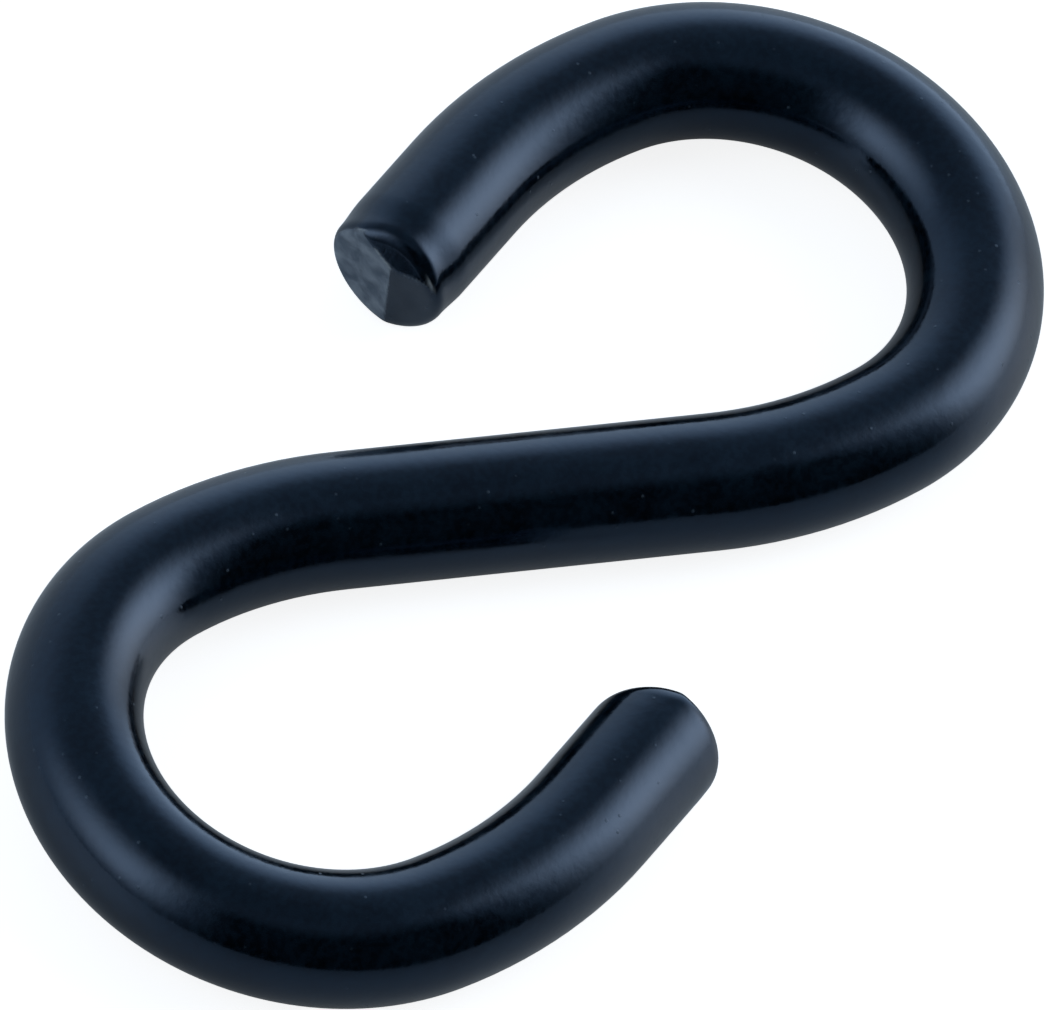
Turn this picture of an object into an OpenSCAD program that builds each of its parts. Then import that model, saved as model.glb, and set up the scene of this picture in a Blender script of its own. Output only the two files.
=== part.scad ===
// S hook, bent from one length of round steel wire and coated all over.
// It lies on its side: it rests on z = 0, and +X runs through the centres of both loops,
// which is the line of pull. Each half is the other one turned half a turn about +Z.

/* [Wire] */
// Diameter of the wire with its coat
wire_d = 6; // [3:0.5:7]
// How much the wire's radius draws in with each tighter bend
draw_in = 0.01; // [0.01:0.01:0.03]

/* [Bends] */
// Straight stretch in the middle of the shank
shank_l = 17; // [12:1:40]
// Radius of the loop, to the middle of the wire
loop_r = 10.5; // [9:0.5:16]
// Angle that the loop turns through
loop_turn = 172; // [150:1:180]
// Radius of the easier bends on both sides of the loop
ease_r = 21; // [17:1:40]
// Angle of the easier bend between the shank and the loop
ease_in_turn = 24; // [10:1:35]
// Angle of the easier bend between the loop and the leg
ease_out_turn = 26; // [5:1:30]
// Straight leg, from the last bend to the rim of the cropped end
leg_l = 5.9; // [4:0.1:9]

/* [Cropped ends] */
// Tilt of the break, the large flat that the shear leaves
break_tilt = 8; // [0:1:12]
// Side that the break leans to, from the loop's outer side (0) over the top (90)
break_side = 302; // [270:1:330]
// Tilt of the tear, the smaller flat beside the break
tear_tilt = 9; // [0:1:12]
// Side that the tear leans to
tear_side = 225; // [190:1:260]
// Tilt of the roll, the flat where the blade pressed the edge over
roll_tilt = 22; // [10:1:35]
// Side that the roll leans to
roll_side = 122; // [90:1:160]
// How much larger than the wire's radius the dome is that rounds the rim
dome_over = 0.1; // [0.05:0.05:0.5]
// How far the dome's centre lies back from the rim
dome_back = 1.6; // [0.8:0.1:2]

/* [Hidden] */
$fn = 96;
wire_r = wire_d / 2;
ease_wire_r = wire_r - draw_in;
loop_wire_r = ease_wire_r - draw_in;
// The thicker stretch runs on this far where a tighter bend starts
lap = 0.2;
ease_lap = lap / ease_r * 180 / PI;
dome_r = wire_r + dome_over;
// The rounding starts where the dome comes out of the wire
dome_start = leg_l - dome_back + sqrt(dome_r * dome_r - wire_r * wire_r);
// Bar left past the rim, out of which the flats are cut
stock_l = wire_r * tan(roll_tilt);
// Centre of the loop, seen from the middle of the shank with the shank along +X
loop_at = [
    shank_l / 2 + (ease_r - loop_r) * sin(ease_in_turn),
    ease_r - (ease_r - loop_r) * cos(ease_in_turn)
];
// Angle between the shank and the line of pull
shank_slant = atan2(loop_at[1], loop_at[0]);

// Straight shank along X, with its middle at the origin
module shank() {
    rotate([0, 90, 0])
        cylinder(r = wire_r, h = shank_l + 2 * lap, center = true);
}

// Part of a bend to the left that begins at the origin along +X, from one angle to another
module bend(radius, section_r, from, to) {
    translate([0, radius, 0])
        rotate([0, 0, from - 90])
            rotate_extrude(angle = to - from)
                translate([radius, 0])
                    circle(r = section_r);
}

// Takes what follows to the end of such a bend
module after_bend(radius, turn) {
    translate([0, radius, 0])
        rotate([0, 0, turn])
            translate([0, -radius, 0])
                children();
}

// Leg along +X with its rim rounded by the dome, before the flats are cut
module domed_leg() {
    rotate([0, 90, 0])
        rotate_extrude() {
            translate([0, -lap])
                square([wire_r, dome_start + lap]);
            intersection() {
                square([wire_r, leg_l + stock_l]);
                translate([0, leg_l - dome_back])
                    circle(r = dome_r);
            }
        }
}

// What the shear takes off for one flat: it meets the wire's side at the rim
module crop(tilt, side) {
    block = 4 * wire_d;
    translate([leg_l, 0, 0])
        rotate([90 - side, 0, 0])
            translate([0, 0, wire_r])
                rotate([0, -tilt, 0])
                    translate([0, -block / 2, -block / 2])
                        cube(block);
}

module leg() {
    difference() {
        domed_leg();
        crop(break_tilt, break_side);
        crop(tear_tilt, tear_side);
        crop(roll_tilt, roll_side);
    }
}

// From the end of the shank round the loop to the cropped end
module half_hook() {
    translate([shank_l / 2, 0, 0]) {
        bend(ease_r, ease_wire_r, 0, ease_in_turn + ease_lap);
        after_bend(ease_r, ease_in_turn) {
            bend(loop_r, loop_wire_r, 0, loop_turn);
            after_bend(loop_r, loop_turn) {
                bend(ease_r, ease_wire_r, -ease_lap, ease_out_turn);
                after_bend(ease_r, ease_out_turn)
                    leg();
            }
        }
    }
}

module hook() {
    color("#1b2430")
        translate([0, 0, wire_r])
            rotate([0, 0, -shank_slant]) {
                shank();
                half_hook();
                rotate([0, 0, 180])
                    half_hook();
            }
}

hook();
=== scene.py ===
# %% [markdown]
# An s hook in Blender
#
# The object is one s hook: a length of round steel wire, bent cold into two open loops that face opposite
# ways, cropped at both ends and then dipped in a dark glossy coat. The solid model gives its exact sizes.
# Here it gets the softness and the finish that the coat gives the real one.
#
# The first cell loads the solid model as a fixed frame.

# %% Load the fixed frame
import math
import bmesh
import bpy
from mathutils import Matrix, Vector


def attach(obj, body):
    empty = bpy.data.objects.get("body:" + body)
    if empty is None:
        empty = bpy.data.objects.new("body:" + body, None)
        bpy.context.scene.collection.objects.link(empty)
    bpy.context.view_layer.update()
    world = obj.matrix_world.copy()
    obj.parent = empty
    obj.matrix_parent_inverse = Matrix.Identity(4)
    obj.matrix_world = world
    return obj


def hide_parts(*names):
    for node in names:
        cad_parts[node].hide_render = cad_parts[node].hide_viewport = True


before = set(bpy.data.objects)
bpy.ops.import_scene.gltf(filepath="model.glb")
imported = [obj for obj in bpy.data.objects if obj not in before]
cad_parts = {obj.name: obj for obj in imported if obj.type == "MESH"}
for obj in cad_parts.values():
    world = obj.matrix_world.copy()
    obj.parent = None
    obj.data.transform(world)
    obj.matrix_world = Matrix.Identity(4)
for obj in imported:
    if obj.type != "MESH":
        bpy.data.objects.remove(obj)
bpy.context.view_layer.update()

MM = 0.001

# %% [markdown]
# Sizes
#
# A bender works from a list: so much straight, then a radius and an angle, then the next. The same list
# drives the solid model, so the two fit without any fitting by eye. Sizes are written in millimetres
# and turned into Blender's metres once, by MM.

# %% The bending list
WIRE_R = 3.0 * MM
SHANK = 17.0 * MM
BENDS = [(21.0 * MM, 24.0), (10.5 * MM, 172.0), (21.0 * MM, 26.0)]
LEG = 5.9 * MM
ROUND_SEGMENTS = 128
STEP_DEG = 2.0

ease_r, ease_turn = BENDS[0]
loop_r = BENDS[1][0]
turned = math.radians(ease_turn)
loop_centre = Vector((SHANK / 2 + (ease_r - loop_r) * math.sin(turned),
                      ease_r - (ease_r - loop_r) * math.cos(turned), 0))
slant = math.atan2(loop_centre.y, loop_centre.x)
print("shank slants", round(math.degrees(slant), 2), "degrees off the line of pull")

# %% [markdown]
# Walking along the wire
#
# To bend the wire one has to know, at every moment, where its end is and which way it points. A curve
# object with a round bevel would be quicker, but its rings can't be shaped into a cropped end. So the
# wire is drawn out of one circle: extruded for the straight stretches and spun for the bends, the way
# a real wire passes through a bender. Two small helpers keep track of the end.

# %% Helpers for drawing the wire
def operate(operator, **settings):
    result = operator(**settings)
    if "FINISHED" not in result:
        raise RuntimeError(f"{operator} gave {result}")


def feed(end, heading, length, steps=1):
    step = heading * (length / steps)
    for _ in range(steps):
        operate(bpy.ops.mesh.extrude_region_move, TRANSFORM_OT_translate={"value": step})
    return end + heading * length


def bend(end, heading, radius, degrees):
    left = Vector((-heading.y, heading.x, 0))
    centre = end + left * radius
    operate(bpy.ops.mesh.spin, steps=round(degrees / STEP_DEG), angle=-math.radians(degrees),
            center=centre, axis=(0, 0, 1))
    turn = Matrix.Rotation(math.radians(degrees), 3, "Z")
    return centre + turn @ (end - centre), turn @ heading


# %% Draw one half of the hook
bpy.ops.object.select_all(action="DESELECT")
heading = Matrix.Rotation(-slant, 3, "Z") @ Vector((1, 0, 0))
end = Vector((0, 0, WIRE_R))
bpy.ops.mesh.primitive_circle_add(vertices=ROUND_SEGMENTS, radius=WIRE_R, location=end,
                                  rotation=(0, math.pi / 2, -slant))
hook = bpy.context.object
hook.name = "coated_hook"
bpy.ops.object.transform_apply(location=True, rotation=True, scale=True)
bpy.ops.object.mode_set(mode="EDIT")
bpy.ops.mesh.select_all(action="SELECT")
end = feed(end, heading, SHANK / 2, steps=6)
for radius, degrees in BENDS:
    end, heading = bend(end, heading, radius, degrees)
print("leg starts at, mm:", [round(c / MM, 2) for c in end])

# %% [markdown]
# The other half
#
# The hook is the same after half a turn about the upright through its middle. So the half is fed on to
# where its tip starts, then duplicated and turned, and the two meet ring on ring in the middle of the
# shank, where merging by distance makes them one skin. Both ends are still open.

# %% Turn a copy and join the two
TIP_BACK = 1.6 * MM
end = feed(end, heading, LEG - TIP_BACK, steps=6)
bpy.ops.mesh.select_all(action="SELECT")
half_count = len(bmesh.from_edit_mesh(hook.data).verts)
bpy.ops.mesh.duplicate()
bpy.ops.transform.rotate(value=math.pi, orient_axis="Z", center_override=(0, 0, 0))
bpy.ops.mesh.select_all(action="SELECT")
bpy.ops.mesh.remove_doubles(threshold=0.001 * MM)
print("verts", len(bmesh.from_edit_mesh(hook.data).verts), "of two halves of", half_count)

# %% [markdown]
# The cropped tips
#
# A shear doesn't saw. It presses into the wire, rolls the near edge over, and then the rest tears off.
# That leaves three flats that meet in a point: the roll, a tear and the larger break. It also draws the
# wire in a little, and the dip coat rounds every edge. Cutting the flats with bisect and bevelling them
# gives edges of one hard width. Instead each new ring is laid on a rounded shape: for a direction out of
# the leg's middle, the point is sought where wall and flats, blended softly, are met. No two crops are
# alike: one tip is clean, the other blunter. Each flat is its tilt, its side and how far it starts past
# the rim.

# %% The shape of a tip
CLEAN_TIP = {
    "break": (11.0, 324.0, 0.34 * MM),
    "tear": (9.0, 217.0, 0.58 * MM),
    "roll": (24.0, 102.0, 0.50 * MM),
    "rim": 0.52 * MM,
    "drawn": 0.10 * MM,
}
BLUNT_TIP = {
    "break": (6.5, 312.0, 0.0),
    "tear": (18.0, 191.0, -0.55 * MM),
    "roll": (23.0, 131.0, 0.15 * MM),
    "rim": 0.82 * MM,
    "drawn": 0.04 * MM,
}
RIDGE_SOFT = 0.05 * MM
HALVINGS = 24


def rise(value, low, high):
    part = min(max((value - low) / (high - low), 0.0), 1.0)
    return part * part * (3.0 - 2.0 * part)


def soft_max(a, b, softness):
    mix = min(max(0.5 + 0.5 * (a - b) / softness, 0.0), 1.0)
    return b + (a - b) * mix + softness * mix * (1.0 - mix)


def past_flat(flat, out, up, along):
    """How far a point lies past one flat: out is away from the loop, along is past the rim."""
    tilt, side, start = math.radians(flat[0]), math.radians(flat[1]), flat[2]
    inward = WIRE_R - out * math.cos(side) - up * math.sin(side)
    return (along - start) * math.cos(tilt) - inward * math.sin(tilt)


def past_wall(tip, out, up, along):
    return math.hypot(out, up) - WIRE_R + tip["drawn"] * rise(along, -TIP_BACK, 0.0)


def outside_tip(tip, *point):
    cap = soft_max(past_flat(tip["break"], *point), past_flat(tip["tear"], *point), RIDGE_SOFT)
    cap = soft_max(cap, past_flat(tip["roll"], *point), RIDGE_SOFT)
    return soft_max(past_wall(tip, *point), cap, tip["rim"])


def reach(tip, around, lean):
    """The tip's point in one direction from inside the leg; lean 0 is straight out of the leg."""
    out = math.sin(lean) * math.cos(around)
    up = math.sin(lean) * math.sin(around)
    along = math.cos(lean)
    near, far = 0.5 * MM, 2.5 * WIRE_R
    for _ in range(HALVINGS):
        half = (near + far) / 2
        if outside_tip(tip, out * half, up * half, along * half - TIP_BACK) > 0:
            far = half
        else:
            near = half
    return out * near, up * near, along * near


round_the_rim = [88.0 - 1.25 * i for i in range(32)]
over_the_flats = [47.0 - 2.0 * i for i in range(23)]
leans = [math.radians(degrees) for degrees in round_the_rim + over_the_flats]
print(len(leans), "rings on each tip")

# %% [markdown]
# Thin coat and painted light on the tips
#
# The dip coat keeps badly on torn steel, so the break and the tear are duller than the wall. They are also
# painted paler: partly that thin coat, partly a painted reflection of the pale table. Along the roll's
# ridge and round the rim's corners a highlight is painted in. Painting that by position alone would need
# the tips' place twice. While the rings are laid, every point already knows which flat it lies on, so it is
# written down there, in two attributes that travel with the mesh: thin_coat_and_painted_reflection and
# painted_ridge_highlight.

# %% What each point of a tip is covered with, and where light is painted on it
def coat_and_painted_light(tip, *point):
    """Thin coat and painted reflection: 1 on the break, less on the tear, 0 on roll and wall. Painted ridge
    highlight: 1 on the roll's edge and near the rim's corners.
    """
    snapped, torn, rolled_over = (past_flat(tip[name], *point) for name in ("break", "tear", "roll"))
    flat = max(snapped, torn)
    from_wall = flat - past_wall(tip, *point)
    from_roll = flat - rolled_over
    on_face = rise(from_wall, -0.05 * MM, 0.20 * MM)
    off_roll = rise(from_roll, -0.02 * MM, 0.04 * MM)
    on_break = rise(snapped - torn, -0.015 * MM, 0.015 * MM)
    # Paler on the break: a thin coat there, and partly a painted reflection of the pale table
    thin_coat_and_painted_reflection = on_face * off_roll * (0.08 + 0.92 * on_break)
    # Mask for a painted highlight along the roll's ridge and round the rim's corners, where the edge
    # catches light
    ridge = 1.0 - rise(abs(from_roll), 0.0, 0.06 * MM)
    ridge *= rise(from_wall, -0.1 * MM, 0.1 * MM) * (0.25 + 0.75 * on_break)
    corner = 1.0 - rise(abs(from_wall), 0.0, 0.12 * MM)
    corner *= 1.0 - rise(abs(from_roll), 0.0, 0.30 * MM)
    return thin_coat_and_painted_reflection, max(ridge, corner)


wire = bmesh.from_edit_mesh(hook.data)
for name in ("thin_coat_and_painted_reflection", "painted_ridge_highlight"):
    wire.verts.layers.float.new(name)
bmesh.update_edit_mesh(hook.data)


# %% Lay the rings of both tips
IN_PLANE = 0.01 * MM


def lay_tip(tip, end, heading):
    outer, top = Vector((heading.y, -heading.x, 0)), Vector((0, 0, 1))
    bpy.ops.mesh.select_all(action="DESELECT")
    wire = bmesh.from_edit_mesh(hook.data)
    for v in wire.verts:
        spoke = v.co - end
        v.select = abs(spoke.dot(heading)) < IN_PLANE and spoke.length < 1.1 * WIRE_R
    wire.select_flush_mode()
    bmesh.update_edit_mesh(hook.data)
    for lean in leans:
        operate(bpy.ops.mesh.extrude_region_move, TRANSFORM_OT_translate={"value": (0, 0, 0)})
        wire = bmesh.from_edit_mesh(hook.data)
        thin_and_painted_reflection, ridge_highlight_mask = (wire.verts.layers.float[name] for name in ("thin_coat_and_painted_reflection", "painted_ridge_highlight"))
        for v in [v for v in wire.verts if v.select]:
            spoke = v.co - end
            out, up, along = reach(tip, math.atan2(spoke.dot(top), spoke.dot(outer)), lean)
            v.co = end + outer * out + top * up + heading * along
            v[thin_and_painted_reflection], v[ridge_highlight_mask] = coat_and_painted_light(tip, out, up, along - TIP_BACK)
        bmesh.update_edit_mesh(hook.data)
    bpy.ops.mesh.merge(type="CENTER")
    print("tip reaches, mm:", round((along + LEG - TIP_BACK) / MM, 2), "along its leg")


lay_tip(CLEAN_TIP, end, heading)
lay_tip(BLUNT_TIP, Vector((-end.x, -end.y, end.z)), -heading)

# %% Finish the mesh
bpy.ops.mesh.select_all(action="SELECT")
bpy.ops.mesh.normals_make_consistent(inside=False)
wire = bmesh.from_edit_mesh(hook.data)
open_edges = sum(1 for e in wire.edges if len(e.link_faces) != 2)
print("open edges", open_edges, "and volume, mm3:", round(wire.calc_volume() / MM ** 3, 1))
bpy.ops.object.mode_set(mode="OBJECT")
bpy.ops.object.shade_smooth()
hook_low, hook_high = (Vector(f(v.co[i] for v in hook.data.vertices) for i in range(3)) for f in (min, max))
print("hook, mm:", [round(c / MM, 2) for c in hook_high - hook_low])
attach(hook, "root")
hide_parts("hook")

# %% [markdown]
# The camera
#
# The photograph was taken from far off with a long lens: both ends of the hook show the wire at the same
# width. The bends' outline was fitted together with the camera, which gave a direction (38 degrees off
# the upright), a roll and a scale. A long lens is used here and not an orthographic camera, so that the
# other views can use it too. It is placed with the three directions of its own frame: right, up, back.

# %% Place the camera
IMAGE_W = 1047
PX_PER_M = 23052.7
LENS, SENSOR = 1500.0, 36.0
AIM_PX = (-3.91, -3.85)
look_from = math.radians(-160.544)
off_vertical = math.radians(38.327)
rolled = math.radians(107.387)

across = Vector((math.cos(look_from), math.sin(look_from), 0))
beside = Vector((-math.sin(look_from), math.cos(look_from), 0))
upright = Vector((0, 0, 1))
back = across * math.sin(off_vertical) + upright * math.cos(off_vertical)
tipped = across * math.cos(off_vertical) - upright * math.sin(off_vertical)
right = tipped * math.cos(rolled) + beside * math.sin(rolled)
up = beside * math.cos(rolled) - tipped * math.sin(rolled)
aim = upright * WIRE_R + (right * AIM_PX[0] + up * AIM_PX[1]) / PX_PER_M
distance = LENS / SENSOR * IMAGE_W / PX_PER_M

camera = bpy.data.objects.new("camera", bpy.data.cameras.new("camera"))
bpy.context.scene.collection.objects.link(camera)
turn = Matrix((right, up, back)).transposed().to_4x4()
camera.matrix_world = Matrix.Translation(aim + back * distance) @ turn
camera.data.lens, camera.data.sensor_width = LENS, SENSOR
camera.data.clip_start, camera.data.clip_end = 0.1, 10.0
bpy.context.scene.camera = camera
print("camera stands", round(distance, 3), "m away, one mm is", round(PX_PER_M * MM, 1), "pixels")

# %% [markdown]
# Maths with nodes
#
# Both the coat and the studio need sums and products of values that vary. Wiring Math nodes one by one
# hides the formula. A small class that stands for a node's output and knows plus, minus and times lets
# the formula be read as it is written, and every other node comes from its one method, node.

# %% A value that varies
class Varying:
    def __init__(self, tree, socket=None):
        self.tree, self.socket = tree, socket

    def node(self, kind, settings=None, output=0, **inputs):
        """Adds one node: settings first, then its sockets, named with _ for a space, or in_0 by number."""
        made = self.tree.nodes.new(kind)
        for name, value in (settings or {}).items():
            setattr(made, name, value)
        for name, value in inputs.items():
            slot = made.inputs[int(name[3:]) if name.startswith("in_") else name.replace("_", " ")]
            if isinstance(value, Varying):
                self.tree.links.new(value.socket, slot)
            else:
                slot.default_value = value
        return Varying(self.tree, made.outputs[output])

    def also(self, output):
        """Another output of the same node."""
        return Varying(self.tree, self.socket.node.outputs[output])

    def feeds(self, shader, name):
        self.tree.links.new(self.socket, shader.inputs[name])

    def maths(self, operation, a, b=0.0):
        return self.node("ShaderNodeMath", {"operation": operation}, in_0=a, in_1=b)

    def __add__(self, other):
        return self.maths("ADD", self, other)

    def __radd__(self, other):
        return self.maths("ADD", other, self)

    def __sub__(self, other):
        return self.maths("SUBTRACT", self, other)

    def __rsub__(self, other):
        return self.maths("SUBTRACT", other, self)

    def __mul__(self, other):
        return self.maths("MULTIPLY", self, other)

    def __rmul__(self, other):
        return self.maths("MULTIPLY", other, self)

    def between(self, low, high, start=0.0, stop=1.0):
        """Rises smoothly from start, where this value is low, to stop, where it is high."""
        return self.node("ShaderNodeMapRange", {"interpolation_type": "SMOOTHSTEP"},
                         Value=self, From_Min=low, From_Max=high, To_Min=start, To_Max=stop)


# %% [markdown]
# The coat
#
# The wire was dipped in a dark lacquer that dried glossy, deep blue where it is thick. Up close it isn't
# one colour: it clouds a little, and a finer grain lies over the clouds. Both are noise on Object
# coordinates, so they keep their real size and stay put when the hook is moved.

# %% The coat's colour
coat = bpy.data.materials.new("dark_gloss_coat")
coat.use_nodes = True
hook.data.materials.append(coat)
start = Varying(coat.node_tree)
place = start.node("ShaderNodeTexCoord", output="Object")
CLOUDS_PER_M, GRAINS_PER_M = 420.0, 3000.0


def noise(per_metre, detail=2.0, **more):
    return start.node("ShaderNodeTexNoise", Vector=place, Scale=per_metre, Detail=detail, **more)


def blend(amount, low, high):
    return start.node("ShaderNodeMix", {"data_type": "RGBA"}, output=2, in_0=amount, in_6=low, in_7=high)


clouds = noise(CLOUDS_PER_M, 4.0).between(0.35, 0.68)
grain = noise(GRAINS_PER_M, 2.0).between(0.35, 0.65)
colour = blend(clouds * 0.5 + grain * 0.5, (0.0001, 0.0005, 0.0012, 1), (0.0021, 0.0078, 0.0145, 1))
print("clouds of about", round(1000 / CLOUDS_PER_M, 1), "mm, grain of", round(1000 / GRAINS_PER_M, 2), "mm")

# %% [markdown]
# Dust specks
#
# Dust that fell into the wet coat left small pale specks. A Voronoi texture gives each cell of space a
# centre and a random colour. Its distance makes a round dot at each centre, and the random colour
# decides which few of the cells hold a speck at all.

# %% Specks in the coat
CELLS_PER_M = 1500.0
cells = start.node("ShaderNodeTexVoronoi", Vector=place, Scale=CELLS_PER_M)
luck = start.node("ShaderNodeSeparateColor", in_0=cells.also("Color"))
specks = cells.also("Distance").between(0.04, 0.16, 1, 0) * luck.between(0.50, 0.95)
colour = blend(specks * 0.6, colour, (0.050, 0.070, 0.090, 1))
print("one cell each", round(1000 / CELLS_PER_M, 2), "mm, and about one in four holds a speck that shows")

# %% [markdown]
# The colour of the tips
#
# The two attributes written on the tips come in here. Thin coat turns the lacquer into the grey blue of
# steel under a thin film, mottled by a grain of its own, and that paleness also paints in the pale table's
# reflection. The ridge gets a painted highlight in broken patches.

# %% Thin coat with painted reflection, and painted ridge highlight
thin_and_painted_reflection = start.node("ShaderNodeAttribute", {"attribute_name": "thin_coat_and_painted_reflection"}, output="Fac")
ridge_highlight_mask = start.node("ShaderNodeAttribute", {"attribute_name": "painted_ridge_highlight"}, output="Fac")
TORN_PER_M = 900.0
torn_grain = noise(TORN_PER_M, 5.0, Distortion=0.4).between(0.30, 0.70)
# Grey blue of steel under a thin film, which also stands in for the pale table's painted reflection
steel_and_painted_reflection = blend(torn_grain, (0.075, 0.100, 0.132, 1), (0.255, 0.300, 0.350, 1))
colour = blend(thin_and_painted_reflection, colour, steel_and_painted_reflection)
# Painted highlight: pale broken patches along the ridge and the rim's corners
painted_ridge_glints = ridge_highlight_mask * noise(TORN_PER_M, 3.0).between(0.34, 0.52)
colour = blend(painted_ridge_glints, colour, (0.34, 0.39, 0.42, 1))
print("coat nodes so far:", len(coat.node_tree.nodes))

# %% [markdown]
# The gloss
#
# A lacquer's gloss comes and goes with its clouds, specks and torn steel are dull, and its skin has the
# fine waves that makers call orange peel. The waves go to one Bump node in real millimetres: the
# height is written in millimetres, and Distance turns it into metres. What is the same all over is set
# on the shader itself: the index of refraction, and the blue tint of what is mirrored head on.

# %% The coat's gloss and skin
lacquered = 0.09 + 0.07 * clouds + 0.04 * grain + 0.25 * specks
roughness = lacquered + thin_and_painted_reflection * (0.32 + 0.15 * torn_grain) + 0.25 * painted_ridge_glints
WAVES_PER_M = 650.0
relief = 0.010 * noise(WAVES_PER_M) + 0.0012 * grain + 0.006 * specks + 0.03 * thin_and_painted_reflection * torn_grain
skin = start.node("ShaderNodeBump", Strength=1.0, Distance=MM, Height=relief)
lacquer = coat.node_tree.nodes["Principled BSDF"]
colour.feeds(lacquer, "Base Color")
roughness.feeds(lacquer, "Roughness")
skin.feeds(lacquer, "Normal")
lacquer.inputs["IOR"].default_value = 1.65
lacquer.inputs["Specular Tint"].default_value = (0.46, 0.66, 1.0, 1)
print("coat nodes:", len(coat.node_tree.nodes))

# %% [markdown]
# The floor
#
# The hook lies on a pale, slightly glossy table that the photograph shows as plain white. The table
# keeps a real colour, so that it lights the hook from below as a table does, and the hook's shadow
# falls on it. Its white comes from a glow that only the camera sees, and that clear and glossy things
# see too, the latter faintly, because this coat shows a table that is darker than white.

# %% A pale table
FLOOR_LIFT = 0.86
GLOSS_SHARE = 0.08
bpy.ops.mesh.primitive_plane_add(size=4.0, location=(0, 0, 0))
floor = bpy.context.object
floor.name = "floor"
table = bpy.data.materials.new("pale_table")
table.use_nodes = True
floor.data.materials.append(table)
ray = Varying(table.node_tree).node("ShaderNodeLightPath")
lift = ray.also("Is Camera Ray") + ray.also("Is Transmission Ray") + GLOSS_SHARE * ray.also("Is Glossy Ray")
board = table.node_tree.nodes["Principled BSDF"]
lift.feeds(board, "Emission Color")
board.inputs["Emission Strength"].default_value = FLOOR_LIFT
board.inputs["Base Color"].default_value = (0.53, 0.60, 0.65, 1)
board.inputs["Roughness"].default_value = 0.25
print("table", [round(c, 2) for c in floor.dimensions], "m, lifted by", FLOOR_LIFT)

# %% [markdown]
# The studio
#
# A dark glossy wire shows little but its surroundings: two softboxes, a glow behind, and on the
# photographer's side nothing, which gives the black band along the middle. Area lamps would need a
# place each and show hard ends in the coat. Here the world itself is the studio: every direction is
# turned into a bearing round the upright and a height above the horizon, both in degrees, and each
# light is a soft patch of them. A patch is given by where its left edge, its right edge, its bottom
# and its top begin and end to change. The boxes are white and the rest is daylight, a little cooler.
# The camera sees plain white.

# %% Bearing and height of a direction
world = bpy.data.worlds.new("studio")
bpy.context.scene.world = world
world.use_nodes = True
start = Varying(world.node_tree)
toward = start.node("ShaderNodeSeparateXYZ", in_0=start.node("ShaderNodeTexCoord", output="Generated"))
x, y, z = (toward.also(i) for i in range(3))
DEGREES = 180 / math.pi
height = start.maths("ARCSINE", z) * DEGREES
TO_THE_GROUND = (-91, -90)


def bearing(middle):
    """Degrees round the upright, counted from the middle so that nothing jumps near it."""
    m = math.radians(middle)
    ahead = x * math.cos(m) + y * math.sin(m)
    aside = y * math.cos(m) - x * math.sin(m)
    return start.maths("ARCTAN2", aside, ahead) * DEGREES


def patch(middle, left, right, bottom, top):
    around = bearing(middle)
    wide = around.between(*left) * around.between(*right, 1, 0)
    return wide * height.between(*bottom) * height.between(*top, 1, 0)


# %% The lights
softbox_left = patch(-40, (-34, -8), (0, 42), (-16, 30), (30, 68))
softbox_right = patch(140, (-46, 12), (10, 38), (-4, 30), (32, 72))
back_glow = patch(10, (-30, -8), (10, 60), TO_THE_GROUND, (15, 50))
low_glow = patch(10, (-32, -6), (-2, 22), (-12, 2), (4, 18))
side_glow = patch(85, (-50, -15), (20, 60), TO_THE_GROUND, (20, 52))
dark_side = patch(-122, (-66, -46), (38, 52), TO_THE_GROUND, (48, 72))
near_low = patch(-122, (-90, -60), (40, 70), TO_THE_GROUND, (5, 25))
room = height.between(30, 85, 0.29, 0.15) * (1 - 0.92 * dark_side) * (1 - 0.5 * near_low)
boxes = 2.8 * softbox_left + 1.75 * softbox_right
daylight = room + 0.95 * back_glow + 0.45 * low_glow + 0.2 * side_glow
red, green, blue = (boxes + share * daylight for share in (0.80, 1.0, 1.22))
light = start.node("ShaderNodeCombineColor", in_0=red, in_1=green, in_2=blue)

studio = world.node_tree.nodes["Background"]
light.feeds(studio, "Color")
white = start.node("ShaderNodeBackground", Color=(1, 1, 1, 1))
ray = start.node("ShaderNodeLightPath")
seen = start.node("ShaderNodeMixShader", in_0=ray.also("Is Camera Ray") + ray.also("Is Transmission Ray"),
                  in_1=Varying(world.node_tree, studio.outputs[0]), in_2=white)
seen.feeds(world.node_tree.nodes["World Output"], "Surface")
bpy.context.scene.view_settings.view_transform = "Standard"
print("studio nodes:", len(world.node_tree.nodes))
